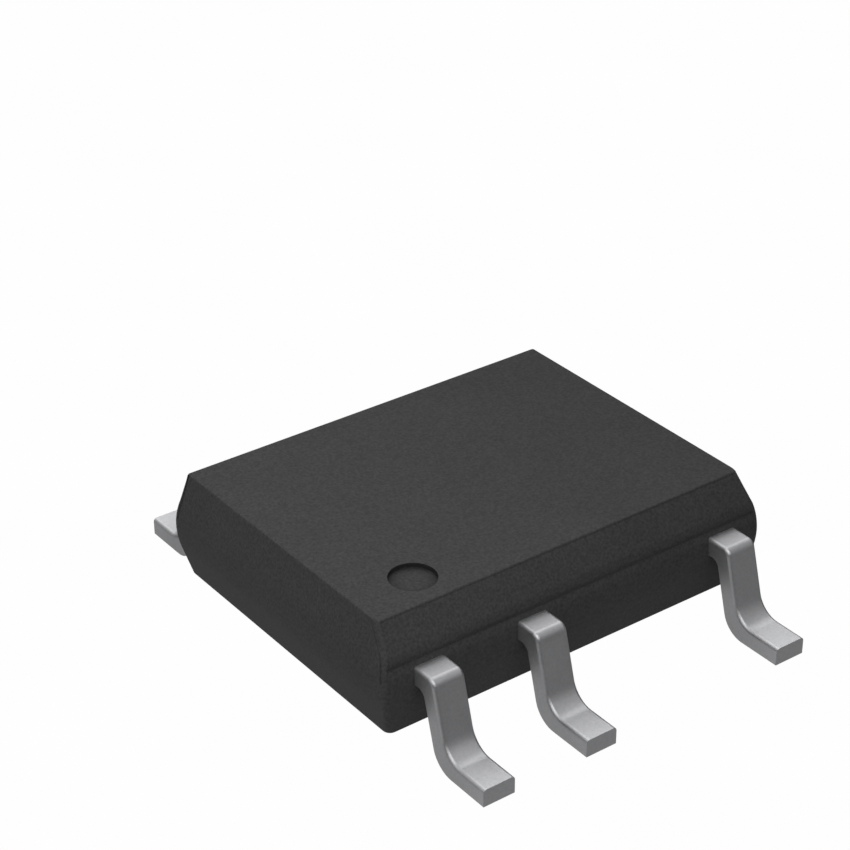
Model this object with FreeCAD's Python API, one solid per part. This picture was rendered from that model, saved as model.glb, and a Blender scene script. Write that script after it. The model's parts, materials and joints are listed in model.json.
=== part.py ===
import FreeCAD, Part
import math
import os

# A small-outline chip with gull-wing leads. Lengths are in millimetres and angles in degrees.
# X runs along the body, leads 1 to 4 are on the -Y side, and the board's surface is Z = 0.

# Moulded body
overall_height = 1.47
standoff = 0.24
body_length = 4.92
body_width = 3.85
waist_below_leads = 0.0425
waist_reach = 0.29
waist_steps = 2
upper_side_draft = 17.6
lower_side_draft = 12.0
upper_end_draft = 15.0
lower_end_draft = 13.7
waist_corner_radius = 0.09
bottom_corner_radius = 0.115
top_front_corner_radius = 0.125
top_back_corner_radius = 0.03
edge_radius = 0.02
bevel_width = 0.088

# Dimple by lead 1
dimple_diameter = 0.50
dimple_depth = 0.05
dimple_from_end = 0.735
dimple_from_bevel = 0.445

# Leads
pitch = 1.27
lead_span = 6.02
lead_width = 0.38
lead_thickness = 0.20
lead_height = 0.89
shoulder_reach = 0.21
leg_lean = 15.6
shoulder_radius = 0.10
shoulder_under_radius = 0.10
instep_radius = 0.275
heel_radius = 0.29

# Inner fingers of leads 1, 2 and 4, where the wires land
finger_neck = 0.30
finger_depth = 0.47
finger_middle_half = 0.35
finger_end_inner = 0.45
finger_end_outer = 0.25
finger_corner = 0.06
anchor_hole_diameter = 0.20
anchor_hole_depth_in = 0.13

# Paddle, which leads 5 to 8 carry
downset = 0.19
ramp_angle = 45.0
ramp_from_wall = 0.42
ramp_radius_over = 0.06
ramp_radius_under = 0.06
neck_width = 0.70
bar_from_ramp = 0.10
bar_depth = 0.45
bar_half_length = 2.12
paddle_left = 1.60
paddle_right = 1.10
paddle_corner = 0.08
finger_gap = 0.35
lock_hole_diameter = 0.30

# Die and the layer under it
die_length = 1.90
die_width = 1.15
die_thickness = 0.25
die_margin = 0.125
attach_thickness = 0.025
attach_spread = 0.04

# Bond wires
wire_diameter = 0.05
ball_diameter = 0.11
ball_height = 0.025
stitch_length = 0.14
stitch_width = 0.10
stitch_height = 0.03
loop_height = 0.16
loop_flat = 0.14
bond_pad_inset = 0.12
twin_wire_spacing = 0.22
paddle_wire_reach = 0.37
paddle_wire_spacing = 0.80

# Heights and places that follow from the sizes above
half_length = body_length / 2
half_width = body_width / 2
waist_height = lead_height - waist_below_leads
finger_edge = half_width - finger_neck
finger_end = finger_edge - finger_depth
ramp_top = half_width - ramp_from_wall
ramp_bottom = ramp_top - downset / math.tan(math.radians(ramp_angle))
bar_edge = ramp_bottom - bar_from_ramp
paddle_front = finger_gap - finger_end
paddle_top = lead_height - downset + lead_thickness / 2
finger_top = lead_height + lead_thickness / 2
die_x = (paddle_right - paddle_left) / 2
die_front = paddle_front + die_margin
die_back = die_front + die_width
die_top = paddle_top + attach_thickness + die_thickness


def wall_inset(z, draft):
    """How far a wall stands inside its widest place: an arc round the waist, then the drafted wall."""
    rise = abs(z - waist_height)
    radius = waist_reach / math.sin(math.radians(draft))
    on_arc = min(rise, waist_reach)
    arc_inset = radius - math.sqrt(radius * radius - on_arc * on_arc)
    return arc_inset + (rise - on_arc) * math.tan(math.radians(draft))


top_half_length = half_length - wall_inset(overall_height, upper_end_draft)
top_half_width = half_width - wall_inset(overall_height, upper_side_draft)
top_front = top_half_width - bevel_width


def lead_x(number):
    """Place along the body of leads 1 to 4, counted from -X, and 5 to 8, counted back from +X."""
    place = number - 1 if number <= 4 else 8 - number
    return (place - 1.5) * pitch


def rounded_wire(corners, to_space):
    """Closed outline through corners (u, v, radius), with an arc at each corner that has a radius."""
    ends = []
    for i, (u, v, radius) in enumerate(corners):
        corner = FreeCAD.Vector(u, v, 0)
        before = FreeCAD.Vector(corners[i - 1][0], corners[i - 1][1], 0) - corner
        after_index = (i + 1) % len(corners)
        after = FreeCAD.Vector(corners[after_index][0], corners[after_index][1], 0) - corner
        before.normalize()
        after.normalize()
        half_angle = before.getAngle(after) / 2
        tangent = radius / math.tan(half_angle)
        to_arc = radius / math.sin(half_angle) - radius
        middle = corner + (before + after).normalize() * to_arc if radius else corner
        ends.append((corner + before * tangent, middle, corner + after * tangent, radius))
    edges = []
    for i, (start, middle, end, radius) in enumerate(ends):
        line_start = ends[i - 1][2]
        if (start - line_start).Length > 1e-6:
            edges.append(Part.makeLine(to_space(line_start), to_space(start)))
        if radius:
            edges.append(Part.Arc(to_space(start), to_space(middle), to_space(end)).toShape())
    return Part.Wire(edges)


def plate(corners, bottom, thickness):
    """Flat plate of the outline (x, y, radius), from the height bottom upwards."""
    outline = rounded_wire(corners, lambda p: FreeCAD.Vector(p.x, p.y, bottom))
    return Part.Face(outline).extrude(FreeCAD.Vector(0, 0, thickness))


def rectangle(x_low, x_high, y_low, y_high, radius, high_radius=None):
    """Corners of a rectangle with rounded corners. high_radius is for the two at y_high, if it differs."""
    if high_radius is None:
        high_radius = radius
    low = [(x_low, y_low, radius), (x_high, y_low, radius)]
    return low + [(x_high, y_high, high_radius), (x_low, y_high, high_radius)]


def body_section(z, front_cut, front_radius, back_radius):
    """Outline of the moulded body at one height. front_cut is how much the bevel takes off its front."""
    above = z > waist_height
    end = half_length - wall_inset(z, upper_end_draft if above else lower_end_draft)
    side = half_width - wall_inset(z, upper_side_draft if above else lower_side_draft)
    outline = rectangle(-end, end, front_cut - side, side, front_radius, back_radius)
    return rounded_wire(outline, lambda p: FreeCAD.Vector(p.x, p.y, z))


def moulded_block():
    """Body with no room inside yet: drafted walls, a rounded waist at the leads, a bevel on the front."""
    sections = [body_section(standoff, 0, bottom_corner_radius, bottom_corner_radius)]
    for step in range(-waist_steps, waist_steps + 1):
        level = waist_height + waist_reach * step / waist_steps
        sections.append(body_section(level, 0, waist_corner_radius, waist_corner_radius))
    top_radii = (top_front_corner_radius, top_back_corner_radius)
    sections.append(body_section(overall_height, bevel_width, *top_radii))
    block = Part.makeLoft(sections, True, True)
    near = 1e-4
    top_rim = [e for e in block.Edges if e.BoundBox.ZMin > overall_height - near]
    bottom_rim = [e for e in block.Edges if e.BoundBox.ZMax < standoff + near]
    return block.makeFillet(edge_radius, top_rim + bottom_rim)


def dimple():
    """Round, flat-bottomed mark near the corner of lead 1."""
    centre = FreeCAD.Vector(
        dimple_from_end - top_half_length, dimple_from_bevel - top_front, overall_height - dimple_depth
    )
    return Part.makeCylinder(dimple_diameter / 2, dimple_depth * 2, centre)


def offset_line(points, distance):
    """Points moved sideways to a parallel line, on the left of theirs for a positive distance."""
    moved = []
    for i, point in enumerate(points):
        before = (point - points[i - 1]).normalize() if i > 0 else None
        after = (points[i + 1] - point).normalize() if i + 1 < len(points) else None
        before = before or after
        after = after or before
        normal = FreeCAD.Vector(-before.y - after.y, before.x + after.x, 0).normalize()
        moved.append(point + normal * (distance / (normal.x * -before.y + normal.y * before.x)))
    return moved


def bent_strip(line, x_middle, width, side):
    """Strip of lead metal along a line of (distance from the middle, height, radius over, radius under)."""
    middle = [FreeCAD.Vector(u, z, 0) for u, z, over, under in line]
    over = [(p.x, p.y, row[2]) for p, row in zip(offset_line(middle, lead_thickness / 2), line)]
    under = [(p.x, p.y, row[3]) for p, row in zip(offset_line(middle, -lead_thickness / 2), line)]
    edge = x_middle - width / 2
    outline = rounded_wire(over + under[::-1], lambda p: FreeCAD.Vector(edge, side * p.x, p.y))
    return Part.Face(outline).extrude(FreeCAD.Vector(width, 0, 0))


def gull_wing(number, inner_end):
    """Outer part of a lead, from inner_end inside the body over the shoulder and leg to the foot's tip."""
    foot_height = lead_thickness / 2
    shoulder = half_width + shoulder_reach
    heel = shoulder + (lead_height - foot_height) * math.tan(math.radians(leg_lean))
    line = [
        (inner_end, lead_height, 0, 0),
        (shoulder, lead_height, shoulder_radius, shoulder_under_radius),
        (heel, foot_height, instep_radius, heel_radius),
        (lead_span / 2, foot_height, 0, 0),
    ]
    return bent_strip(line, lead_x(number), lead_width, -1 if number <= 4 else 1)


def finger_lead(number, pad_low, pad_high):
    """Lead 1, 2 or 4 in one piece with its inner finger, a bonding pad with an anchor hole."""
    x = lead_x(number)
    outline = rectangle(x - pad_low, x + pad_high, -finger_edge, -finger_end, finger_corner)
    pad = plate(outline, lead_height - lead_thickness / 2, lead_thickness)
    lead = gull_wing(number, finger_edge - finger_corner).fuse(pad)
    hole_place = FreeCAD.Vector(x, anchor_hole_depth_in - finger_edge, 0)
    hole = Part.makeCylinder(anchor_hole_diameter / 2, overall_height, hole_place)
    return lead.cut(hole).removeSplitter()


def paddle_with_leads():
    """Paddle in one piece with leads 5 to 8: each neck drops from the leads' height to the paddle's."""
    paddle_height = lead_height - downset
    corners = [
        (-bar_half_length, bar_edge, paddle_corner),
        (-bar_half_length, bar_edge - bar_depth, paddle_corner),
        (-paddle_left, bar_edge - bar_depth, paddle_corner),
        (-paddle_left, paddle_front, paddle_corner),
        (paddle_right, paddle_front, paddle_corner),
        (paddle_right, bar_edge - bar_depth, paddle_corner),
        (bar_half_length, bar_edge - bar_depth, paddle_corner),
        (bar_half_length, bar_edge, paddle_corner),
    ]
    piece = plate(corners, paddle_height - lead_thickness / 2, lead_thickness)
    neck_line = [
        (bar_edge - paddle_corner, paddle_height, 0, 0),
        (ramp_bottom, paddle_height, ramp_radius_over, ramp_radius_under),
        (ramp_top, lead_height, ramp_radius_under, ramp_radius_over),
        (half_width - finger_neck / 2, lead_height, 0, 0),
    ]
    for number in (5, 6, 7, 8):
        x = lead_x(number)
        low = max(x - neck_width / 2, -bar_half_length)
        high = min(x + neck_width / 2, bar_half_length)
        piece = piece.fuse(bent_strip(neck_line, (low + high) / 2, high - low, 1))
        piece = piece.fuse(gull_wing(number, finger_edge))
    for left, right in ((8, 7), (7, 6), (6, 5)):
        hole_place = FreeCAD.Vector((lead_x(left) + lead_x(right)) / 2, bar_edge - bar_depth / 2, 0)
        piece = piece.cut(Part.makeCylinder(lock_hole_diameter / 2, overall_height, hole_place))
    return piece.removeSplitter()


def die_and_attach():
    """Silicon die, and the thin layer that holds it on the paddle and spreads a little past its edges."""
    low = die_x - die_length / 2
    high = die_x + die_length / 2
    die = plate(rectangle(low, high, die_front, die_back, 0), paddle_top + attach_thickness, die_thickness)
    spread = rectangle(
        low - attach_spread, high + attach_spread, die_front - attach_spread, die_back + attach_spread, 0
    )
    return die, plate(spread, paddle_top, attach_thickness)


def bond_wire(start, end):
    """Wire from a ball on the die, up, over and down to a flattened stitch on the metal at end."""
    up = FreeCAD.Vector(0, 0, 1)
    across = FreeCAD.Vector(end.x - start.x, end.y - start.y, 0).normalize()
    knee = start + up * loop_height
    landing = end + up * stitch_height
    route = Part.makePolygon([start + up * (ball_height / 2), knee, knee + across * loop_flat, landing])
    section = Part.Wire([Part.makeCircle(wire_diameter / 2, route.Vertexes[0].Point, up)])
    mitred_corners = 1
    wire = route.makePipeShell([section], True, False, mitred_corners)
    ball = Part.makeCylinder(ball_diameter / 2, ball_height, start)
    stitch_corner = FreeCAD.Vector(-stitch_length / 2, -stitch_width / 2, 0)
    stitch = Part.makeBox(stitch_length, stitch_width, stitch_height, stitch_corner)
    stitch.rotate(FreeCAD.Vector(), up, math.degrees(math.atan2(across.y, across.x)))
    stitch.translate(end)
    return wire.fuse([ball, stitch])


def bond_wires():
    """All the wires, by node name."""
    front_pads = die_front + bond_pad_inset
    back_pads = die_back - bond_pad_inset
    die_left = die_x - die_length / 2 + bond_pad_inset
    die_right = die_x + die_length / 2 - bond_pad_inset
    landing = finger_depth / 2 - finger_edge
    pad_1 = lead_x(1) + (finger_end_inner - finger_end_outer) / 2
    pad_4 = lead_x(4) - (finger_end_inner - finger_end_outer) / 2
    routes = {
        "bond_wire_lead_1": ((die_left, front_pads, die_top), (pad_1, landing, finger_top)),
        "bond_wire_lead_2": ((lead_x(2), front_pads, die_top), (lead_x(2), landing, finger_top)),
    }
    for name, place in (("a", -0.5), ("b", 0.5)):
        shift = place * twin_wire_spacing
        start = (die_right - twin_wire_spacing / 2 + shift, front_pads, die_top)
        routes["bond_wire_lead_4_" + name] = (start, (pad_4 + shift, landing, finger_top))
        along = die_x + place * paddle_wire_spacing
        routes["bond_wire_paddle_" + name] = (
            (along, back_pads, die_top),
            (along, back_pads + paddle_wire_reach, paddle_top),
        )
    wires = {}
    for name, (start, end) in routes.items():
        wires[name] = bond_wire(FreeCAD.Vector(*start), FreeCAD.Vector(*end))
    return wires


def build():
    """Every piece by node name. The moulded body fills all the room round what it encloses."""
    pieces = {
        "lead_1": finger_lead(1, finger_end_outer, finger_end_inner),
        "lead_2": finger_lead(2, finger_middle_half, finger_middle_half),
        "lead_4": finger_lead(4, finger_end_inner, finger_end_outer),
        "paddle_with_leads": paddle_with_leads(),
    }
    pieces["die"], pieces["die_attach"] = die_and_attach()
    pieces.update(bond_wires())
    pieces["mould_body"] = moulded_block().cut(dimple()).cut(list(pieces.values()))
    return pieces


os.makedirs("parts", exist_ok=True)
for name, shape in build().items():
    solid = shape.Solids[0]
    solid.exportStep("parts/" + name + ".step")
    print(name, len(shape.Solids), "solid", shape.isValid(), round(shape.Volume, 5), "mm3")
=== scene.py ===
# %% [markdown]
# A small-outline chip is a block of black epoxy moulded round a few strips of metal. What you see is the
# moulded body and its gull-wing leads, so those get pieces of their own here. The metal fingers, the
# silicon and the bond wires sit inside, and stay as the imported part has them, with a finish each. The
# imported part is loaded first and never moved: it says where everything is, in metres.

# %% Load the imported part
import json
import math

import bmesh
import bpy
from mathutils import Matrix, Quaternion, Vector

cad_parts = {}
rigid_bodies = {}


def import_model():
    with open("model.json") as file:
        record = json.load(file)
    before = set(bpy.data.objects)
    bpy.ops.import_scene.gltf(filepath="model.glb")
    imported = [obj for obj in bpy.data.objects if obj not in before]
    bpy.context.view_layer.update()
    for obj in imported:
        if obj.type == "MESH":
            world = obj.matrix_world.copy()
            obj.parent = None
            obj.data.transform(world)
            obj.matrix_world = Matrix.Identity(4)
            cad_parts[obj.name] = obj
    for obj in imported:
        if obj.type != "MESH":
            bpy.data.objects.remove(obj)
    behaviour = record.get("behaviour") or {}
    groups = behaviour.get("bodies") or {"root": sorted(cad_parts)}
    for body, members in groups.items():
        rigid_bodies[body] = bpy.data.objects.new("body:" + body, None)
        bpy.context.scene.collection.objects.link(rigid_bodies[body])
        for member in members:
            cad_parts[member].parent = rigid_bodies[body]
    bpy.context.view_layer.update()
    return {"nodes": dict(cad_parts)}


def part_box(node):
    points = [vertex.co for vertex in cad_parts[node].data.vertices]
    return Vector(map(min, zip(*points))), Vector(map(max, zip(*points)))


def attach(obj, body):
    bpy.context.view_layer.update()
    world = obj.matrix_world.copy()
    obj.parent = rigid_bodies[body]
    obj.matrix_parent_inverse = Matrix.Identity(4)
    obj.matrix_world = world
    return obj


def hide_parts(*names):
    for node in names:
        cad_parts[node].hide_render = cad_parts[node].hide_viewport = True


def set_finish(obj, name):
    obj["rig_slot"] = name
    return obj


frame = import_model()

print("nodes:", ", ".join(sorted(frame["nodes"])))

# %% [markdown]
# The chip is only six millimetres long, and Blender's bevel and merge tools take anything under about a
# micrometre as nothing. So each piece is modelled a thousand times larger, with one unit for a millimetre,
# and shrunk in its mesh when it is done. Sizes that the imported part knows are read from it. The pitch of
# the leads is the standard one, and most of the others were measured in the photograph.

# %% Sizes in millimetres
MM = 0.001


def box_mm(node):
    """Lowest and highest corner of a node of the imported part, in millimetres."""
    low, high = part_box(node)
    return low / MM, high / MM


body_low, body_high = box_mm("mould_body")
finger_low, finger_high = box_mm("lead_1")

lead_pitch = 1.27
lead_width = 0.38
lead_thickness = 0.20
lead_middle = finger_high.z - lead_thickness / 2
lead_tip = -finger_low.y
shoulder_reach = 0.21
shoulder = body_high.y + shoulder_reach
leg_lean = math.radians(15.6)
print(f"body {body_high.x - body_low.x:.2f} x {body_high.y - body_low.y:.2f} mm")
print(f"tips {2 * lead_tip:.2f} mm apart, leads leave the body {lead_middle:.2f} mm up")

# %% [markdown]
# Operators act on whatever is selected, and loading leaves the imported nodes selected, so everything is
# deselected first. The helpers below then do in code what you would do by clicking. A new primitive is
# opened in edit mode, and faces, edges or corners are picked by where they are or which way they face.
# Picking by number would be shorter to write, but the numbers change with every cut, and places don't.

# %% Helpers: open a piece, pick its parts and push them


def open_piece(name):
    """The primitive that was just added, named, with its place in its mesh, in edit mode."""
    piece = bpy.context.object
    piece.name = name
    bpy.ops.object.transform_apply(location=True, rotation=True, scale=True)
    bpy.ops.object.mode_set(mode="EDIT")
    return piece


def pick(piece, kind, test):
    """Selects the faces, edges or corners of the piece for which test is true, and says how many."""
    bpy.ops.mesh.select_mode(type=kind)
    bpy.ops.mesh.select_all(action="DESELECT")
    mesh = bmesh.from_edit_mesh(piece.data)
    mesh.normal_update()
    parts = {"FACE": mesh.faces, "EDGE": mesh.edges, "VERT": mesh.verts}[kind]
    found = [part for part in parts if test(part)]
    for part in found:
        part.select_set(True)
    bmesh.update_edit_mesh(piece.data)
    return len(found)


def middle(edge):
    """Middle point of an edge."""
    return (edge.verts[0].co + edge.verts[1].co) / 2


def near(value, target, reach=1e-3):
    """Whether a value is the target, but for rounding."""
    return abs(value - target) < reach


def push_out(step):
    """Extrudes the selected faces by a step."""
    bpy.ops.mesh.extrude_region_move(TRANSFORM_OT_translate={"value": step})


bpy.ops.object.select_all(action="DESELECT")
print("selected at the start:", len(bpy.context.selected_objects))

# %% [markdown]
# Nearly every edge of a chip is rounded, by the mould or by the press. The bevel operator does that, but
# its own round profile is a true arc only on a square corner, and few corners here are square. So the
# helper takes the real radius, and how far the surface turns at the edge. From these it works out how wide
# the bevel starts and which profile passes through the middle of the arc.

# %% Helper: round an edge to a true radius


def round_off(radius, steps, turn=math.pi / 2):
    """Rounds the selected edges to a radius. turn is how far the surface turns there."""
    halfway = 1 - math.tan(turn / 4) / (2 * math.sin(turn / 2))
    bpy.ops.mesh.bevel(
        offset=radius * math.tan(turn / 2), segments=steps, profile=halfway ** 2, clamp_overlap=False
    )


# %% [markdown]
# The moulded body comes out of two mould halves that meet near the leads, so its walls lean in from a
# waist, both up and down. It could be cut from a block by planes. It is quicker to start with the upper
# half, narrow its top, and extrude the lower half out of its underside. The waist is first a sharp edge,
# where the walls would meet, and one wide bevel turns it into the soft waist that the real one has.

# %% Body: two leaning halves and a soft waist
waist_drop = 0.0425
waist = lead_middle - waist_drop
waist_reach = 0.29
waist_steps = 24
end_draft_up = math.radians(15.0)
end_draft_down = math.radians(13.7)
side_draft_up = math.radians(17.6)
side_draft_down = math.radians(12.0)
rise = body_high.z - waist
fall = waist - body_low.z


def wall_inset(height, draft):
    """How far a wall has leaned in at a height from the waist: round at first, then straight."""
    return waist_reach * math.tan(draft / 2) + (height - waist_reach) * math.tan(draft)


def sharp_waist(half_size, *drafts):
    """Where the straight walls would meet if the waist were a sharp edge."""
    gains = [waist_reach * (math.tan(draft) - math.tan(draft / 2)) for draft in drafts]
    return half_size + sum(gains) / len(gains)


sharp_x = sharp_waist(body_high.x, end_draft_up, end_draft_down)
sharp_y = sharp_waist(body_high.y, side_draft_up, side_draft_down)
top_x = body_high.x - wall_inset(rise, end_draft_up)
top_y = body_high.y - wall_inset(rise, side_draft_up)
bottom_x = body_high.x - wall_inset(fall, end_draft_down)
bottom_y = body_high.y - wall_inset(fall, side_draft_down)

bpy.ops.mesh.primitive_cube_add(
    size=1, location=(0, 0, waist + rise / 2), scale=(2 * sharp_x, 2 * sharp_y, rise)
)
body = open_piece("moulded_body")
pick(body, "FACE", lambda face: face.normal.z > 0.9)
bpy.ops.transform.resize(value=(top_x / sharp_x, top_y / sharp_y, 1))
pick(body, "FACE", lambda face: face.normal.z < -0.9)
push_out((0, 0, -fall))
bpy.ops.transform.resize(value=(bottom_x / sharp_x, bottom_y / sharp_y, 1))
pick(body, "EDGE", lambda edge: near(edge.verts[0].co.z, waist) and near(edge.verts[1].co.z, waist))
waist_turn = (end_draft_up + end_draft_down + side_draft_up + side_draft_down) / 2
round_off(waist_reach / math.sin(waist_turn / 2), waist_steps, waist_turn)
print(f"top {2 * top_x:.2f} x {2 * top_y:.2f} mm, underside {2 * bottom_x:.2f} x {2 * bottom_y:.2f} mm")

# %% [markdown]
# The long edge on the side of leads 1 to 4 has a broad bevel, which is one of the ways to find lead 1. It
# is a second plane, and a bisect could cut it. Here the top edge is simply pulled in, and the wall above
# the waist leans with it, which keeps the rings of the waist whole for the next steps.

# %% Body: bevelled side
bevel_width = 0.131


def first_top_edge(edge):
    """Whether an edge is the long top edge on the side of leads 1 to 4."""
    place = middle(edge)
    return near(place.z, body_high.z) and near(place.x, 0) and place.y < 0


print("top edges pulled in:", pick(body, "EDGE", first_top_edge))
bpy.ops.transform.translate(value=(0, bevel_width, 0))

# %% [markdown]
# The four upright corners are rounded, the one by lead 1 tighter than the others. Their rounding isn't the
# same all the way: it is wider at the underside and, along the ends, at the top of the bevelled side, and
# nearly sharp at the top of the other side. A bevel with one width per corner point would be fiddly.
# Instead each corner gets its radius at the waist, and then its top and its foot are scaled about the place
# where the sharp corner was.

# %% Body: corners
corner_radius = 0.09
first_corner_radius = 0.05
corner_steps = 8

# How far the rounding reaches along the end and along the side.
bevelled_top = (0.108, 0.03)
plain_top = (0.025, 0.025)
bevelled_foot = (0.085, 0.085)
plain_foot = (0.115, 0.115)


def upright(edge, first):
    """Whether an edge runs up a corner: the one by lead 1, or one of the others."""
    rises = abs(edge.verts[0].co.z - edge.verts[1].co.z) > 1e-4
    return rises and first == (middle(edge).x < 0 and middle(edge).y < 0)


for first, radius in ((True, first_corner_radius), (False, corner_radius)):
    print("corner edges:", pick(body, "EDGE", lambda edge: upright(edge, first)))
    round_off(radius, corner_steps)


def corner_to(corner, radius, along_end, along_side):
    """Lets the rounding of a corner reach farther, or less far, along the end and along the side."""
    pick(body, "VERT", lambda v: (v.co - corner).length < 1.8 * radius and near(v.co.z, corner.z))
    wider = (along_side / radius, along_end / radius, 1)
    bpy.ops.transform.resize(value=wider, center_override=corner)


for side, radius in ((-1, first_corner_radius), (1, corner_radius)):
    corner_to(Vector((side * top_x, bevel_width - top_y, body_high.z)), radius, *bevelled_top)
    corner_to(Vector((side * top_x, top_y, body_high.z)), corner_radius, *plain_top)
    corner_to(Vector((side * bottom_x, -bottom_y, body_low.z)), radius, *bevelled_foot)
    corner_to(Vector((side * bottom_x, bottom_y, body_low.z)), corner_radius, *plain_foot)

# %% [markdown]
# Up close the bevelled side isn't one clean sweep. Its plane rolls over into a soft hollow that faces
# almost straight out, and then a small ledge leads back to the wall, a little above the waist. A sculpting
# brush could press such a hollow in, but not evenly over the whole length. The bevel has left rings of
# edges round the waist that can be used instead, and two cuts above them add the rings that are missing. On
# that side each ring is then moved in or out by a little. The rings of an arc don't lie evenly in height, so
# heights closer together than the rings are tried in turn. One that meets a ring moves it. A ring that lies
# between two of them stays where it was.

# %% Body: hollow under the bevel
height_step = waist_reach / waist_steps
ledge_step = 16
fall_steps = 6
ring_reach = 0.004
ledge = waist + ledge_step * height_step
hollow_top = waist + waist_reach

# How far in a ring at the ledge's own height would go. The nearest rings go in a little less.
hollow_depth = 0.028

# Height of each extra ring over the hollow, and how far it is moved out.
roll_rings = ((0.0275, 0.006), (0.0525, 0.008))


def ring_edge(edge, height):
    """Whether an edge lies on the bevelled side, along the ring at a height."""
    first, second = (vertex.co for vertex in edge.verts)
    along_side = near(first.z, second.z, 1e-4) and abs(first.x - second.x) > 1
    return along_side and middle(edge).y < -1 and near(middle(edge).z, height, ring_reach)


def move_ring(height, inward):
    """Moves the ring at a height in from the bevelled side, or out where the step is negative."""
    count = pick(body, "EDGE", lambda edge: ring_edge(edge, height))
    bpy.ops.transform.translate(value=(0, inward, 0))
    return count


for above, outward in roll_rings:
    height = hollow_top + above
    bpy.ops.mesh.select_all(action="SELECT")
    bpy.ops.mesh.bisect(plane_co=(0, 0, height), plane_no=(0, 0, 1))
    move_ring(height, -outward)
moves = []
for step in range(ledge_step - fall_steps + 1, waist_steps):
    height = waist + step * height_step
    above_ledge = (hollow_top - height) / (hollow_top - ledge)
    below_ledge = 1 - (ledge - height) / (fall_steps * height_step)
    inward = hollow_depth * (above_ledge ** 2 if height >= ledge else below_ledge)
    moves += [inward] * move_ring(height, inward)
print(f"{len(moves)} rings moved in, the farthest by {max(moves):.4f} mm")

# %% [markdown]
# The rims of the top and of the underside are rounded, because the mould's own corners are. Where inserts
# of the mould meet, they leave a hairline round the bevel. A dark line could be painted on, but it would
# have no edge for the light to catch. So the hairline is a real trench: a pair of insets, of which one
# sinks the faces and the other raises them again.

# %% Body: rims and hairline
rim_radius = 0.02
rim_steps = 4
rim_turn = math.pi / 2 - side_draft_up
hairline_width = 0.024
hairline_depth = 0.0045


def bevel_face(face):
    """Whether a face lies on the bevelled side, above the ledge."""
    return face.normal.y < -0.7 and near(face.normal.x, 0) and face.calc_center_median().z > ledge


pick(body, "EDGE", lambda edge: sum(abs(face.normal.z) > 0.99 for face in edge.link_faces) == 1)
round_off(rim_radius, rim_steps, rim_turn)
print("hairline round", pick(body, "FACE", bevel_face), "faces")
bpy.ops.mesh.inset(thickness=hairline_width / 2, depth=-hairline_depth)
bpy.ops.mesh.inset(thickness=hairline_width / 2, depth=hairline_depth)

# %% [markdown]
# The mould's inserts also leave a groove up each side of both end walls, where the wall gives way to its
# rounded corner. An inset would carry it all the way round the wall. This groove ends above the waist, so
# it is made from the edges that it follows: a bevel splits them in two, and the line in the middle is
# pushed in.

# %% Body: grooves on the end walls
groove_foot = 0.93
groove_half_width = 0.018
groove_depth = 0.026


def groove_edge(edge, side):
    """Whether an edge parts an end wall from its rounded corner, above the groove's foot."""
    on_end = [near(face.normal.y, 0) and face.normal.x * side > 0.9 for face in edge.link_faces]
    first, second = (vertex.co for vertex in edge.verts)
    rises = abs(first.z - second.z) > abs(first.y - second.y)
    return on_end.count(True) == 1 and rises and middle(edge).z > groove_foot


for side in (-1, 1):
    pick(body, "EDGE", lambda edge: groove_edge(edge, side))
    line = [vertex.co.copy() for vertex in bmesh.from_edit_mesh(body.data).verts if vertex.select]
    bpy.ops.mesh.bevel(offset=groove_half_width, segments=2, clamp_overlap=False)
    count = pick(body, "VERT", lambda v: any((v.co - place).length < 0.003 for place in line))
    bpy.ops.transform.translate(value=(-groove_depth * side, 0, 0))
    print("groove points:", len(line), "found and pushed in:", count)

# %% [markdown]
# A finished piece needs a few last things. Its rounded edges are shaded smooth, and a weighted normal keeps
# the flats flat. Its mesh is shrunk to real size, with the object left at the origin, unturned and
# unscaled, so that patterns and exports agree on where it is. Then it is tied to the body it rides on, the
# imported node that it stands for is hidden, and the piece gets its material slot. Modifiers are applied at
# once, so the mesh is what you see.

# %% Helpers: modifiers and the finished piece


def apply_modifier(piece, kind, **settings):
    """Adds a modifier with its settings and applies it."""
    bpy.context.view_layer.objects.active = piece
    modifier = piece.modifiers.new(kind, kind)
    for key, value in settings.items():
        setattr(modifier, key, value)
    bpy.ops.object.modifier_apply(modifier=modifier.name)


def select_only(piece):
    """Leaves edit mode and makes the piece the only selected one."""
    if bpy.context.mode == "EDIT_MESH":
        bpy.ops.object.mode_set(mode="OBJECT")
    bpy.ops.object.select_all(action="DESELECT")
    piece.select_set(True)
    bpy.context.view_layer.objects.active = piece


def finish_piece(piece, node, slot, smooth_below=40):
    """Smooths the rounded edges, keeps the flats flat, shrinks to real size, ties to the body and hides the
    node.
    """
    select_only(piece)
    bpy.ops.object.shade_smooth_by_angle(angle=math.radians(smooth_below))
    apply_modifier(piece, "WEIGHTED_NORMAL", keep_sharp=True)
    piece.data.transform(Matrix.Scale(MM, 4))
    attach(piece, "root")
    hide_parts(node)
    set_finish(piece, slot)
    print(piece.name, len(piece.data.polygons), "faces")


# %% [markdown]
# A round dimple marks the corner of lead 1. It is a shallow pocket left by a pin in the mould: straight
# wall, flat floor. A circle could be drawn into the top face and pushed down, but the face would have to be
# joined to it by hand. A Boolean cut with a cylinder does both and gives the clean round edge.

# %% Body: dimple
dimple_radius = 0.25
dimple_depth = 0.05
dimple_from_end = 0.735
dimple_from_bevel = 0.419
dimple_place = Vector((dimple_from_end - top_x, bevel_width + dimple_from_bevel - top_y, body_high.z))
dimple_rim = 0.005
dimple_sides = 96

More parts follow.
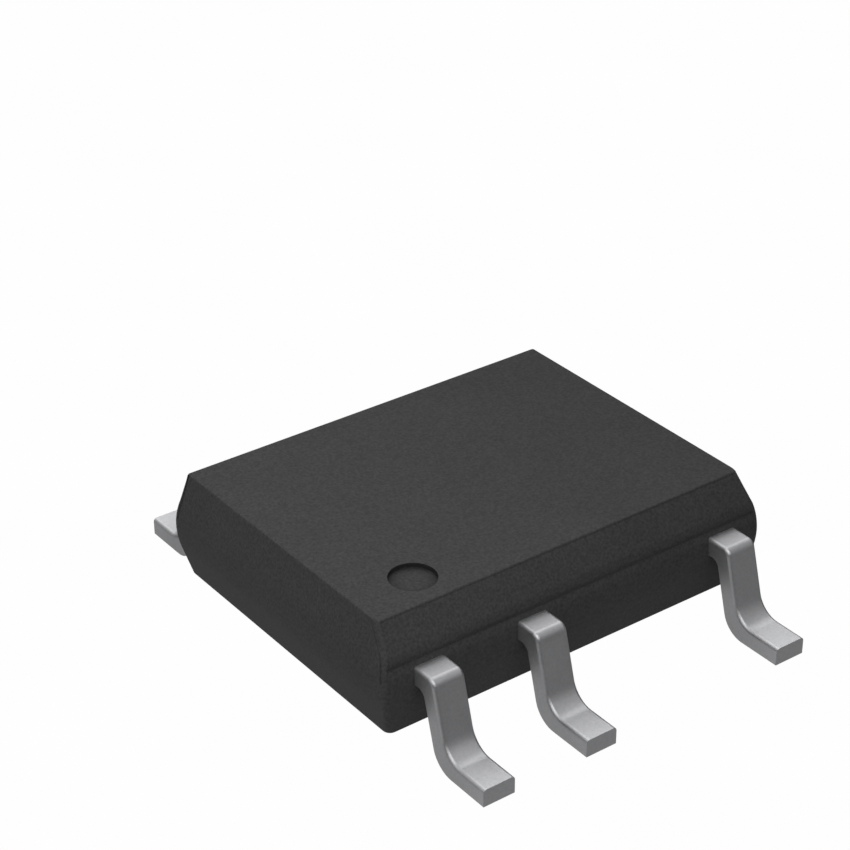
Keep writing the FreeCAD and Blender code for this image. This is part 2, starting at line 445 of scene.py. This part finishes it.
bpy.ops.object.mode_set(mode="OBJECT")
bpy.ops.mesh.primitive_cylinder_add(
    vertices=dimple_sides, radius=dimple_radius, depth=2 * dimple_depth, location=dimple_place
)
pin = bpy.context.object
apply_modifier(body, "BOOLEAN", operation="DIFFERENCE", object=pin, solver="EXACT")
bpy.data.objects.remove(pin)
bpy.context.view_layer.objects.active = body
bpy.ops.object.mode_set(mode="EDIT")


def in_dimple(edge):
    """Whether an edge of the body runs round the dimple."""
    ends = [vertex.co - dimple_place for vertex in edge.verts]
    round_it = all(near(math.hypot(end.x, end.y), dimple_radius, 0.004) for end in ends)
    return round_it and near(ends[0].z, ends[1].z)


print("dimple edges:", pick(body, "EDGE", in_dimple))
bpy.ops.mesh.bevel(offset=dimple_rim, segments=2, clamp_overlap=False)
finish_piece(body, "mould_body", "mould_compound")

# %% [markdown]
# A gull-wing lead is a flat strip, bent twice by a press. On the real one the outside of each bend is
# squeezed nearly as sharp as the inside, so a spin round one centre would look too soft. Instead the strip
# is extruded with mitred corners: the end face is turned by half the bend and stretched to fit, and the
# next stretch of metal starts from it. Each bend then gets its own radius on each side.

# %% Leads: the bent strip
half_bend = (math.pi / 2 - leg_lean) / 2
heel = shoulder + (lead_middle - lead_thickness / 2) * math.tan(leg_lean)
instep_radius = 0.275
heel_radius = 0.29
shoulder_radius = 0.10
bend_steps = 10
foot_z = lead_thickness / 2
strip_inside = 0.30
finger_edge = body_high.y - strip_inside


def turn_end(angle, centre, stretch):
    """Turns the selected end face about the X axis and stretches it across the strip."""
    bpy.ops.transform.rotate(value=-angle, orient_axis="X", center_override=centre)
    bpy.ops.transform.resize(value=(1, stretch, stretch), center_override=centre)


bpy.ops.mesh.primitive_cube_add(
    size=1, location=(0, -(lead_tip + heel) / 2, foot_z), scale=(lead_width, lead_tip - heel, lead_thickness)
)
outer_lead = open_piece("outer_lead")
pick(outer_lead, "FACE", lambda face: face.normal.y > 0.9)
mitre = 1 / math.cos(half_bend)
turn_end(half_bend, (0, -heel, foot_z), mitre)
push_out((0, heel - shoulder, lead_middle - foot_z))
push_out((0, shoulder - finger_edge, 0))
turn_end(-half_bend, (0, -finger_edge, lead_middle), 1 / mitre)
corner = lead_thickness / 2 * math.tan(half_bend)
bends = (
    (heel + corner, lead_thickness, instep_radius),
    (heel - corner, 0, heel_radius),
    (shoulder + corner, lead_middle + lead_thickness / 2, shoulder_radius),
    (shoulder - corner, lead_middle - lead_thickness / 2, shoulder_radius),
)
for reach, height, radius in bends:
    pick(outer_lead, "EDGE", lambda e: near(middle(e).y, -reach) and near(middle(e).z, height))
    round_off(radius, bend_steps, 2 * half_bend)
print(f"each bend turns {math.degrees(2 * half_bend):.1f} degrees")

# %% [markdown]
# A press stamps the strips out of sheet before it bends them. The punch draws the upper edges down a
# little, which leaves them round, and the lower edges stay nearly sharp. The foot's tip is sheared last of
# all, so its end face is plain. The round upper edge catches the light along the whole lead. A bevel
# modifier rounds all its edges alike, so the two kinds are picked apart and each gets its own radius. The
# strip's flat sides still have a seam at each bend, left by the extrusions. A bevel would trip over those,
# so they are dissolved first.

# %% Leads: stamped edges
rollover_radius = 0.040
rollover_steps = 4
burr_radius = 0.005
burr_steps = 2
strip_upward = Vector((0, -0.6, 0.8))


def long_edge(edge, upper):
    """Whether an edge runs along the strip, on its upper or its lower face."""
    normals = [face.normal for face in edge.link_faces]
    sides = [normal for normal in normals if abs(normal.x) > 0.9]
    others = [normal for normal in normals if abs(normal.x) < 0.1 and abs(normal.y) < 0.999]
    return len(sides) == 1 and len(others) == 1 and (others[0].dot(strip_upward) > 0) == upper


seams = pick(outer_lead, "EDGE", lambda edge: all(abs(face.normal.x) > 0.9 for face in edge.link_faces))
bpy.ops.mesh.dissolve_edges()
print("seams taken off the sides:", seams)
print("upper edges:", pick(outer_lead, "EDGE", lambda edge: long_edge(edge, True)))
round_off(rollover_radius, rollover_steps)
print("lower edges:", pick(outer_lead, "EDGE", lambda edge: long_edge(edge, False)))
round_off(burr_radius, burr_steps)

# %% [markdown]
# All seven leads are the same outside the body, so the strip is copied, each copy with a mesh of its own.
# Leads 1 to 4 stand along one side, and 5 to 8 come back along the other, turned half round. Place 3 is
# empty on this part, and the leads differ inside the body, so plain copies suit them better than an array
# modifier.

# %% Leads: copies in their places
middle_place = 1.5


def lead_x(number):
    """Place along the body of leads 1 to 4, and of 5 to 8 on the way back."""
    place = number - 1 if number <= 4 else 8 - number
    return (place - middle_place) * lead_pitch


leads = {}
for number in (1, 2, 4, 5, 6, 7, 8):
    select_only(outer_lead)
    bpy.ops.object.duplicate()
    lead = bpy.context.object
    lead.location.x = lead_x(number)
    lead.rotation_euler.z = 0 if number <= 4 else math.pi
    bpy.ops.object.transform_apply(location=True, rotation=True, scale=True)
    lead.name = f"gull_wing_lead_{number}"
    leads[number] = lead
bpy.data.objects.remove(outer_lead)
print("leads at", ", ".join(f"{lead_x(number):.3f}" for number in leads))

# %% [markdown]
# Inside the body, leads 1, 2 and 4 widen to a pad where the bond wire lands. Nobody sees it on the finished
# chip, but the piece stands for the whole lead. A second plate pushed into the strip would leave hidden
# faces, so the pad is extruded from the strip's own end.

# %% Leads 1, 2 and 4
finger_end = -finger_high.y
flare = 0.06

for number in (1, 2, 4):
    lead = leads[number]
    select_only(lead)
    bpy.ops.object.mode_set(mode="EDIT")
    pad_low, pad_high = box_mm(f"lead_{number}")
    pick(lead, "FACE", lambda face: face.normal.y > 0.9 and near(face.calc_center_median().y, -finger_edge))
    push_out((0, flare, 0))
    bpy.ops.transform.resize(value=((pad_high.x - pad_low.x) / lead_width, 1, 1))
    bpy.ops.transform.translate(value=((pad_low.x + pad_high.x) / 2 - lead_x(number), 0, 0))
    push_out((0, finger_edge - finger_end - flare, 0))
    finish_piece(lead, f"lead_{number}", "tin_plated_lead")

# %% [markdown]
# Leads 5 to 8 are one stamping with the paddle that carries the silicon. Their necks step down inside the
# body, and the paddle lies under them. Each neck is extruded from the end of its strip, as on the press.

# %% Leads 5 to 8: necks that step down
paddle_low, paddle_high = box_mm("paddle_with_leads")
paste_low = box_mm("die_attach")[0]
paddle_z = paste_low.z - lead_thickness / 2
neck_inside = 0.42
ramp_out = body_high.y - neck_inside
ramp_in = ramp_out - (lead_middle - paddle_z)
neck_length = 0.10
bar_edge = ramp_in - neck_length
neck_lap = 0.05


def neck_face(face):
    """Whether a face is the end of a strip inside the body, on the side of leads 5 to 8."""
    return face.normal.y < -0.9 and near(face.calc_center_median().y, finger_edge)


for number in (5, 6, 7, 8):
    select_only(leads[number])
    bpy.ops.object.mode_set(mode="EDIT")
    pick(leads[number], "FACE", neck_face)
    push_out((0, ramp_out - finger_edge, 0))
    push_out((0, ramp_in - ramp_out, paddle_z - lead_middle))
    push_out((0, bar_edge - neck_lap - ramp_in, 0))
    bpy.ops.object.mode_set(mode="OBJECT")
print(f"necks step down by {lead_middle - paddle_z:.2f} mm")

# %% [markdown]
# The paddle is a T: a bar that the four necks run into, and a plate under the silicon. Two blocks could be
# laid over one another, but one flat piece has no hidden faces. So the bar is the primitive, two bisects
# mark where the plate begins and ends, and the face between them is extruded. The four bent strips are then
# joined to it, because the real stamping is one piece too.

# %% Paddle with leads 5 to 8
bar_depth = 0.45
paddle_left = 1.60
paddle_right = 1.10
plate_middle = (paddle_right - paddle_left) / 2

bpy.ops.mesh.primitive_cube_add(
    size=1,
    location=(0, bar_edge - bar_depth / 2, paddle_z),
    scale=(paddle_high.x - paddle_low.x, bar_depth, lead_thickness),
)
paddle = open_piece("paddle_and_leads_5_to_8")
bpy.ops.mesh.bisect(plane_co=(-paddle_left, 0, 0), plane_no=(1, 0, 0))
bpy.ops.mesh.select_all(action="SELECT")
bpy.ops.mesh.bisect(plane_co=(paddle_right, 0, 0), plane_no=(1, 0, 0))
pick(paddle, "FACE", lambda face: face.normal.y < -0.9 and near(face.calc_center_median().x, plate_middle))
push_out((0, paddle_low.y - (bar_edge - bar_depth), 0))
select_only(paddle)
for number in (5, 6, 7, 8):
    leads[number].select_set(True)
bpy.ops.object.join()
finish_piece(paddle, "paddle_with_leads", "tin_plated_lead")

# %% [markdown]
# Shader maths reads best as plain arithmetic. The small class below wraps a socket, and adding, subtracting
# or multiplying it makes the Math nodes. Every other node comes from one method, which takes the node's
# type, its settings, which are set first, and what goes into its sockets. Such a tree could be wired by
# hand in the shader editor, but here the whole finish can be read in a few lines.

# %% Shader helpers: signals and finishes


class Signal:
    """A value in a node tree that can be used in arithmetic."""

    def __init__(self, finish, socket):
        self.finish = finish
        self.socket = socket

    def math(self, operation, first, second):
        """Output of a Math node."""
        return self.finish.node("ShaderNodeMath", {"operation": operation}, {0: first, 1: second})["Value"]

    def __add__(self, other):
        return self.math("ADD", self, other)

    def __sub__(self, other):
        return self.math("SUBTRACT", self, other)

    def __rsub__(self, other):
        return self.math("SUBTRACT", other, self)

    def __mul__(self, other):
        return self.math("MULTIPLY", self, other)

    def below(self, limit):
        """One where the value is under a limit, nought elsewhere."""
        return self.math("LESS_THAN", self, limit)

    __radd__ = __add__
    __rmul__ = __mul__


class Finish:
    """A node tree under construction, for a material or the world."""

    def __init__(self, name, tree):
        self.name = name
        self.tree = tree
        tree.nodes.clear()

    def node(self, kind, settings=None, inputs=None):
        """Adds a node and returns its outputs by name. Inputs are values or signals, by name or number."""
        made = self.tree.nodes.new(kind)
        for key, value in (settings or {}).items():
            setattr(made, key, value)
        for key, value in (inputs or {}).items():
            if isinstance(value, Signal):
                self.tree.links.new(value.socket, made.inputs[key])
            else:
                made.inputs[key].default_value = value
        return {out.name: Signal(self, out) for out in made.outputs if out.enabled}

    def blend(self, factor, first, second):
        """Mix of two colours."""
        return self.node("ShaderNodeMix", {"data_type": "RGBA"}, {0: factor, 6: first, 7: second})["Result"]

    def slide(self, value, start, end, at_start, at_end):
        """Goes evenly from at_start to at_end while the value goes from start to end."""
        limits = {"From Min": start, "From Max": end, "To Min": at_start, "To Max": at_end}
        return self.node("ShaderNodeMapRange", None, {"Value": value, **limits})["Result"]

    def shaded(self, colour, shade):
        """A colour made darker or paler by a factor."""
        scale = {0: colour, "Scale": shade}
        return self.node("ShaderNodeVectorMath", {"operation": "SCALE"}, scale)["Vector"]


# %% [markdown]
# Each material starts with an empty tree and ends in one Principled shader. Nearly all that changes over
# these surfaces is grain, so that gets a helper too. It measures the grain in millimetres on the object
# itself, so the pattern has one size on every piece and stays in place when the piece moves.

# %% Shader helpers: a material and its grain


def new_material(name):
    """A material with an empty tree, and its Finish."""
    material = bpy.data.materials.new(name)
    material.use_nodes = True
    return material, Finish(name, material.node_tree)


def close_material(finish, **sockets):
    """Ends the tree in a Principled shader."""
    names = {key.replace("_", " "): value for key, value in sockets.items()}
    shader = finish.node("ShaderNodeBsdfPrincipled", None, names)["BSDF"]
    finish.node("ShaderNodeOutputMaterial", None, {"Surface": shader})
    print(finish.name, "has", len(finish.tree.nodes), "nodes")


def grain(finish, place, size, detail=2.0, stretch=(1, 1, 1)):
    """Noise whose grains are about size millimetres across."""
    scaled = finish.node("ShaderNodeMapping", None, {"Vector": place, "Scale": stretch})["Vector"]
    settings = {"Vector": scaled, "Scale": 1 / (size * MM), "Detail": detail}
    return finish.node("ShaderNodeTexNoise", None, settings)["Fac"]


def raised(finish, height, strength, depth):
    """Normal of a surface whose pattern stands up to depth millimetres high."""
    settings = {"Strength": strength, "Distance": depth * MM, "Height": height}
    return finish.node("ShaderNodeBump", None, settings)["Normal"]


def grey(value):
    """A neutral colour."""
    return (value, value, value, 1)


# %% [markdown]
# Mould compound is epoxy packed with ground silica. The mould's spark-eroded walls leave it matte, with a
# fine grain that reads as speckle on the top face. A picture of a real surface could give that, but it
# would blur up close. Two sizes of noise don't: they vary the colour and the roughness a little, and the
# fine one drives the bump. The colour is also painted a shade paler at the lead 1 end of the body and
# darker towards the other end: painted light, standing in for light that falls more on the lead 1 end.

# %% Mould compound: grain and painted light along the body
fine_grain = 0.028
coarse_grain = 0.9
painted_ramp_end = 2.4
paler, darker = 1.06, 0.83

mould_material, finish = new_material("mould_compound")
place = finish.node("ShaderNodeTexCoord")["Object"]
fine = grain(finish, place, fine_grain)
mottle = fine * 0.85 + grain(finish, place, coarse_grain) * 0.15
mould_grey = finish.blend(mottle, grey(0.027), grey(0.113))
along = finish.node("ShaderNodeSeparateXYZ", None, {"Vector": place})
# Painted light: paler towards the lead 1 end, darker towards the other end.
painted_light_ramp = finish.slide(along["X"], -painted_ramp_end * MM, painted_ramp_end * MM, paler, darker)
print(f"compound: {fine_grain} mm grain, {paler - darker:.2f} paler at the lead 1 end")

# %% [markdown]
# The floor of the dimple is painted darker, and darkest round the rim: painted shade, standing in for the
# shade that the dimple's wall throws on its floor. The floor's faces could have a second material, but then
# two trees would have to keep the same grain. So the same tree measures how far a point is from the dimple's
# middle and how deep it lies, and darkens only what is inside.

# %% Mould compound: painted shade in the dimple
plain_middle = 0.12
middle_shade, rim_shade = 0.88, 0.48

level = finish.node("ShaderNodeVectorMath", {"operation": "MULTIPLY"}, {0: place, 1: (1, 1, 0)})["Vector"]
centre = (dimple_place.x * MM, dimple_place.y * MM, 0)
from_centre = finish.node("ShaderNodeVectorMath", {"operation": "DISTANCE"}, {0: level, 1: centre})["Value"]
# Painted shade: the dimple's floor is darkened, most of all round the rim under its wall.
painted_dimple_shade = finish.slide(from_centre, plain_middle * MM, dimple_radius * MM, middle_shade, rim_shade)
under_the_top = along["Z"].below((body_high.z - 0.004) * MM)
under_the_floor = along["Z"].below((body_high.z - 2 * dimple_depth) * MM)
inside = (under_the_top - under_the_floor) * from_centre.below((dimple_radius + 0.002) * MM)
close_material(
    finish,
    Base_Color=finish.shaded(mould_grey, painted_light_ramp * (1 + inside * (painted_dimple_shade - 1))),
    Roughness=0.45 + mottle * 0.2,
    Normal=raised(finish, fine, 0.2, 0.004),
    Specular_IOR_Level=0.1,
)
body.data.materials.append(mould_material)

# %% [markdown]
# The leads are copper under a few micrometres of plated tin. Matte tin is a near-white metal with a fine,
# even grain, softer than brushed steel. A bare metal shader would look like a mirror, so this one is rough,
# by an amount that varies slowly over the strip, and the grain varies its colour. The feet are also painted
# paler towards their tips: painted light, standing in for the light that the body and the legs keep from the
# parts near them. The tips' end faces are cut after the tin goes on, so they show bare metal and look
# darker.

# %% Tin plate
plate_grain = 0.03
plate_cloud = 0.35
painted_light_reach = 0.45
tip_light_gain, cut_shade = 1.12, 0.88

tin_material, finish = new_material("tin_plate")
place = finish.node("ShaderNodeTexCoord")["Object"]
fine = grain(finish, place, plate_grain)
cloud = grain(finish, place, plate_cloud)
tin = finish.blend(fine * 0.6 + cloud * 0.4, (0.52, 0.523, 0.535, 1), (0.77, 0.773, 0.79, 1))
outward = finish.node("ShaderNodeVectorMath", {"operation": "ABSOLUTE"}, {0: place})["Vector"]
reach = finish.node("ShaderNodeSeparateXYZ", None, {"Vector": outward})["Y"]
# Painted light: the feet grow paler towards their tips, away from the shade of the body and the leg.
painted_foot_light = finish.slide(reach, (lead_tip - painted_light_reach) * MM, lead_tip * MM, 1.0, tip_light_gain)
behind_the_cut = reach.below((lead_tip - 0.003) * MM)
close_material(
    finish,
    Base_Color=finish.shaded(tin, cut_shade + behind_the_cut * (painted_foot_light - cut_shade)),
    Metallic=1.0,
    Roughness=0.43 + cloud * 0.06,
    Normal=raised(finish, fine, 0.3, 0.003),
)
for piece in bpy.data.objects:
    if piece.get("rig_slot") == "tin_plated_lead":
        piece.data.materials.append(tin_material)

# %% [markdown]
# Inside the body, silicon is a dark mirror-polished grey, the paste under it is grey and grainy with silver
# flakes, and the wires are drawn copper with faint lines along them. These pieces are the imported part's own
# and keep their shapes, so they only get new materials. Noise that is stretched along one axis makes the
# lines.

# %% Finishes inside the body
silicon_material, finish = new_material("silicon")
place = finish.node("ShaderNodeTexCoord")["Object"]
tone = finish.blend(grain(finish, place, 0.2), (0.10, 0.10, 0.13, 1), (0.16, 0.16, 0.19, 1))
close_material(finish, Base_Color=tone, Metallic=0.6, Roughness=0.12 + grain(finish, place, 0.1) * 0.1)

paste_material, finish = new_material("die_attach_paste")
place = finish.node("ShaderNodeTexCoord")["Object"]
tone = finish.blend(grain(finish, place, 0.02), (0.28, 0.28, 0.27, 1), (0.62, 0.62, 0.60, 1))
close_material(finish, Base_Color=tone, Metallic=0.5, Roughness=0.4 + grain(finish, place, 0.03) * 0.2)

copper_material, finish = new_material("bond_wire_copper")
place = finish.node("ShaderNodeTexCoord")["Object"]
lines = grain(finish, place, 0.02, 1.0, (1, 1, 0.1))
tone = finish.blend(lines, (0.62, 0.30, 0.16, 1), (0.78, 0.42, 0.26, 1))
close_material(finish, Base_Color=tone, Metallic=1.0, Roughness=0.18 + lines * 0.15)

inner_finishes = {"die": silicon_material, "die_attach": paste_material}
for node, piece in frame["nodes"].items():
    wanted = copper_material if node.startswith("bond_wire") else inner_finishes.get(node)
    if wanted:
        piece.data.materials.clear()
        piece.data.materials.append(wanted)

# %% [markdown]
# The chip stands on a plain pale floor. A real sheet of paper would catch shadows and colours from the
# chip. This floor glows evenly and stays out of the lighting, so it is as plain and shadowless as a light
# table. A pale globe round it does the same for the wall behind, which low views look at. Both are made at
# real size, in metres.

# %% Floor and backdrop
room_radius = 0.6

bpy.ops.mesh.primitive_plane_add(size=2 * room_radius)
floor = bpy.context.object
floor.name = "floor"
bpy.ops.mesh.primitive_uv_sphere_add(segments=48, ring_count=24, radius=room_radius)
backdrop = bpy.context.object
backdrop.name = "backdrop"
floor_material, finish = new_material("pale_floor")
place = finish.node("ShaderNodeTexCoord")["Object"]
tone = finish.blend(grain(finish, place, 2.0), grey(0.985), grey(0.995))
glow = finish.node("ShaderNodeEmission", None, {"Color": tone, "Strength": 1.0})["Emission"]
finish.node("ShaderNodeOutputMaterial", None, {"Surface": glow})
for surface in (floor, backdrop):
    surface.data.materials.append(floor_material)
    surface.visible_diffuse = False
    surface.visible_glossy = False
    surface.visible_shadow = False
print("staged:", floor.name, "and", backdrop.name)

# %% [markdown]
# The light is a soft studio. The key lamp hangs high behind the chip on the right, which is what makes the
# tops of the feet bright and the fronts of the legs dark. Weaker ones beside it, over the left end and at
# the left horizon light the rounded edges. One over the camera and two in front shape the near side. One
# low on the left and a little light from below open the shadows. Area lamps could stand round the chip, but
# they light near things more than far ones. These are painted on the sky as round glows, which keep their
# balance in every view.

# %% Light
world = bpy.data.worlds.new("soft_dome")
bpy.context.scene.world = world
world.use_nodes = True
finish = Finish(world.name, world.node_tree)
direction = finish.node("ShaderNodeTexCoord")["Generated"]


def soft_lamp(azimuth, elevation, inner, outer, strength):
    """Glow round one direction of the sky: full within the inner angle, none outside the outer one."""
    turn, tilt = math.radians(azimuth), math.radians(elevation)
    toward = (math.cos(turn) * math.cos(tilt), math.sin(turn) * math.cos(tilt), math.sin(tilt))
    ends = {0: direction, 1: toward}
    facing = finish.node("ShaderNodeVectorMath", {"operation": "DOT_PRODUCT"}, ends)["Value"]
    return finish.slide(facing, math.cos(math.radians(outer)), math.cos(math.radians(inner)), 0, strength)


key = soft_lamp(56, 52, 10, 30, 1.44)
right = soft_lamp(10, 45, 8, 30, 0.46)
back_left = soft_lamp(100, 45, 8, 30, 0.76)
left_high = soft_lamp(170, 45, 8, 45, 0.60)
left_low = soft_lamp(-162, -35, 5, 45, 0.19)
over_the_camera = soft_lamp(-128, 55, 8, 40, 1.18)
front_high = soft_lamp(-90, 60, 8, 35, 0.66)
front_low = soft_lamp(-55, 18, 5, 40, 0.22)
horizon_left = soft_lamp(140, 6, 5, 34, 0.26)
from_below = soft_lamp(0, -90, 45, 84, 0.40)
behind = key + right + back_left + horizon_left
ahead = over_the_camera + front_high + front_low
sky = behind + ahead + left_high + left_low + from_below
shine = finish.node("ShaderNodeBackground", None, {"Color": sky})["Background"]
finish.node("ShaderNodeOutputWorld", None, {"Surface": shine})
bpy.context.scene.view_settings.view_transform = "Standard"
print(finish.name, "has", len(finish.tree.nodes), "nodes")

# %% [markdown]
# The camera stands where the photographer's did: a long lens, thirty degrees above the table, looking past
# the corner of lead 1. It could be aimed at the chip by eye. Its place follows instead from fitting the
# chip's corners in the photograph.

# %% Camera
camera_azimuth = math.radians(-36.53)
camera_elevation = math.radians(29.885)
camera_roll = math.radians(-0.202)
camera_place = Vector((-12.903, -16.695, 14.193))

camera_data = bpy.data.cameras.new("camera")
camera_data.lens = 99.34
camera_data.sensor_width = 36
camera_data.clip_start = 1 * MM
camera_data.clip_end = 1
camera = bpy.data.objects.new("camera", camera_data)
bpy.context.scene.collection.objects.link(camera)
level_reach = math.cos(camera_elevation)
back = Vector((
    math.sin(camera_azimuth) * level_reach,
    -math.cos(camera_azimuth) * level_reach,
    math.sin(camera_elevation),
))
camera.location = camera_place * MM
camera.rotation_euler = (back.to_track_quat("Z", "Y") @ Quaternion((0, 0, 1), camera_roll)).to_euler()
bpy.context.scene.camera = camera
print(f"camera {camera_place.length:.1f} mm away")
